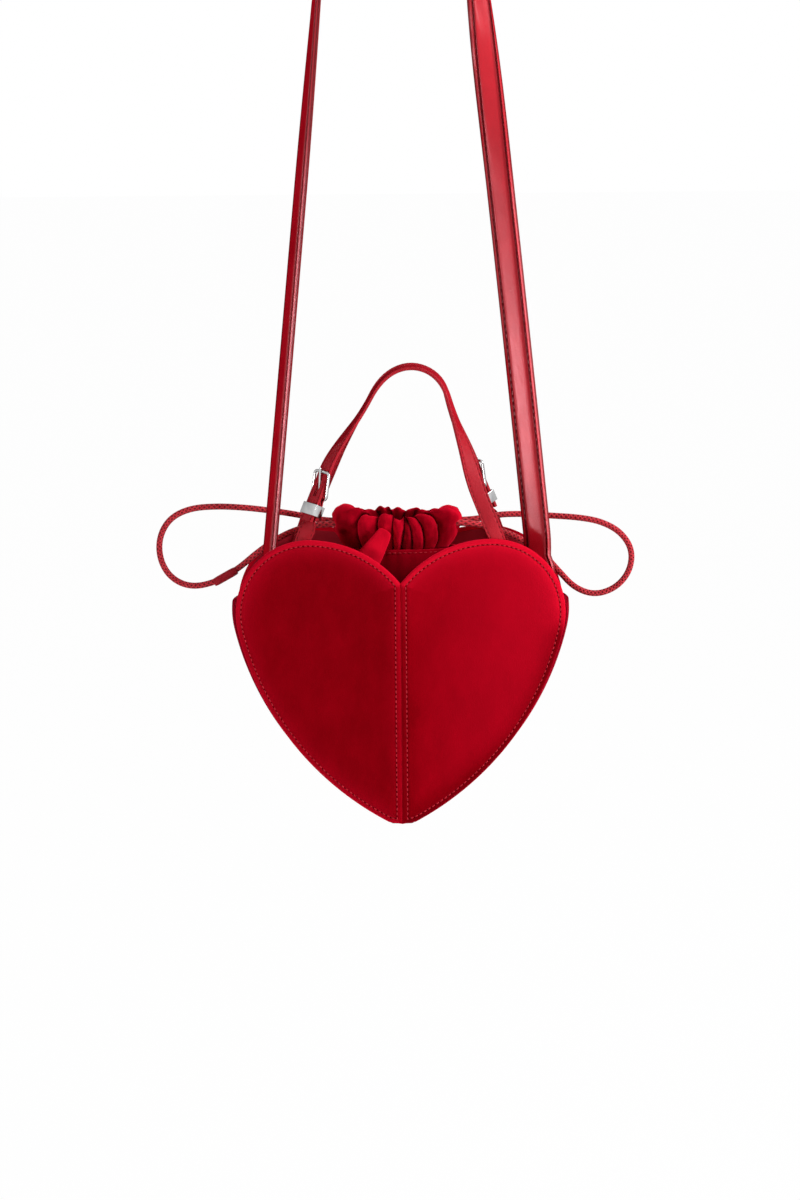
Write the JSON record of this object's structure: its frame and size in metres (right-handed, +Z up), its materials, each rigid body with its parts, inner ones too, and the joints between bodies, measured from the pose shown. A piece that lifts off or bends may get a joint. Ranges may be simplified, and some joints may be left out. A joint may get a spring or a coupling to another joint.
{
  "type": "heart shaped purse",
  "caption": "Heart shaped velvet drawstring purse with a ridged front and back, a gathered neck, short buckled handles and a long leather shoulder strap.",
  "frame": {"origin": "under the shoulder strap's crown, where the purse hangs from a hook or a shoulder", "axes": "+Z up, the front heart faces -Y, +X to the right as seen from the front"},
  "size_m": [0.2934, 0.0892, 0.674],
  "materials": {
    "red_velvet": "short pile velvet",
    "red_lining": "smooth satin",
    "stiffener_board": "raw",
    "red_cord": "woven cord",
    "handle_leather": "fine grain",
    "strap_leather": "glazed",
    "silver_metal": "polished"
  },
  "bodies": {
    "strap": {"shoulder_strap": "strap_leather"},
    "bag": {"front_left_cover": "red_velvet", "front_left_board": "stiffener_board", "front_left_lining": "red_lining", "front_left_handle_tab": "handle_leather", "front_right_cover": "red_velvet", "front_right_board": "stiffener_board", "front_right_lining": "red_lining", "front_right_handle_tab": "handle_leather", "back_left_cover": "red_velvet", "back_left_board": "stiffener_board", "back_left_lining": "red_lining", "back_left_handle_tab": "handle_leather", "back_right_cover": "red_velvet", "back_right_board": "stiffener_board", "back_right_lining": "red_lining", "back_right_handle_tab": "handle_leather", "left_gusset": "red_velvet", "right_gusset": "red_velvet", "left_gusset_lining": "red_lining", "right_gusset_lining": "red_lining", "pouch_skirt": "red_velvet", "pouch_collar": "red_velvet", "drawstring_front_run": "red_cord", "drawstring_back_run": "red_cord", "left_strap_anchor": "handle_leather", "right_strap_anchor": "handle_leather"},
    "handle_front": {"front_handle_strap": "handle_leather", "front_buckle_billet": "handle_leather", "front_buckle_frame": "silver_metal"},
    "prong_front": {"front_buckle_prong": "silver_metal"},
    "keeper_front": {"front_keeper": "silver_metal"},
    "handle_back": {"back_handle_strap": "handle_leather", "back_buckle_billet": "handle_leather", "back_buckle_frame": "silver_metal"},
    "prong_back": {"back_buckle_prong": "silver_metal"},
    "keeper_back": {"back_keeper": "silver_metal"},
    "loop_left": {"drawstring_left_loop": "red_cord", "join_sleeve": "red_cord"},
    "loop_right": {"drawstring_right_loop": "red_cord"}
  },
  "joints": [
    {"name": "bag_swing", "type": "hinge", "parent": "strap", "child": "bag", "pos_m": [0, 0, -0.51114], "axis": [1, 0, 0], "range_deg": [-15, 15]},
    {"name": "front_handle_fold", "type": "hinge", "parent": "bag", "child": "handle_front", "pos_m": [0, -0.02991, -0.49214], "axis": [1, 0, 0], "range_deg": [-2, 95]},
    {"name": "front_prong_lift", "type": "hinge", "parent": "handle_front", "child": "prong_front", "pos_m": [-0.04863, -0.02546, -0.47118], "axis": [0.6471, -0.7562, -0.0976], "range_deg": [0, 30]},
    {"name": "front_keeper_slide", "type": "slide", "parent": "handle_front", "child": "keeper_front", "axis": [0.3637, 0.1937, 0.9112], "range_m": [-0.003, 0.002]},
    {"name": "back_handle_fold", "type": "hinge", "parent": "bag", "child": "handle_back", "pos_m": [0, 0.02991, -0.49214], "axis": [-1, 0, 0], "range_deg": [-2, 95]},
    {"name": "back_prong_lift", "type": "hinge", "parent": "handle_back", "child": "prong_back", "pos_m": [0.04863, 0.02546, -0.47118], "axis": [-0.6471, 0.7562, -0.0976], "range_deg": [0, 30]},
    {"name": "back_keeper_slide", "type": "slide", "parent": "handle_back", "child": "keeper_back", "axis": [-0.3637, -0.1937, 0.9112], "range_m": [-0.003, 0.002]},
    {"name": "left_loop_pull", "type": "slide", "parent": "bag", "child": "loop_left", "axis": [-1, 0, 0], "range_m": [0, 0.01]},
    {"name": "right_loop_pull", "type": "slide", "parent": "bag", "child": "loop_right", "axis": [1, 0, 0], "range_m": [0, 0.01]}
  ],
  "couplings": [
    {"joint": "right_loop_pull", "follows": "left_loop_pull", "ratio": 1}
  ]
}
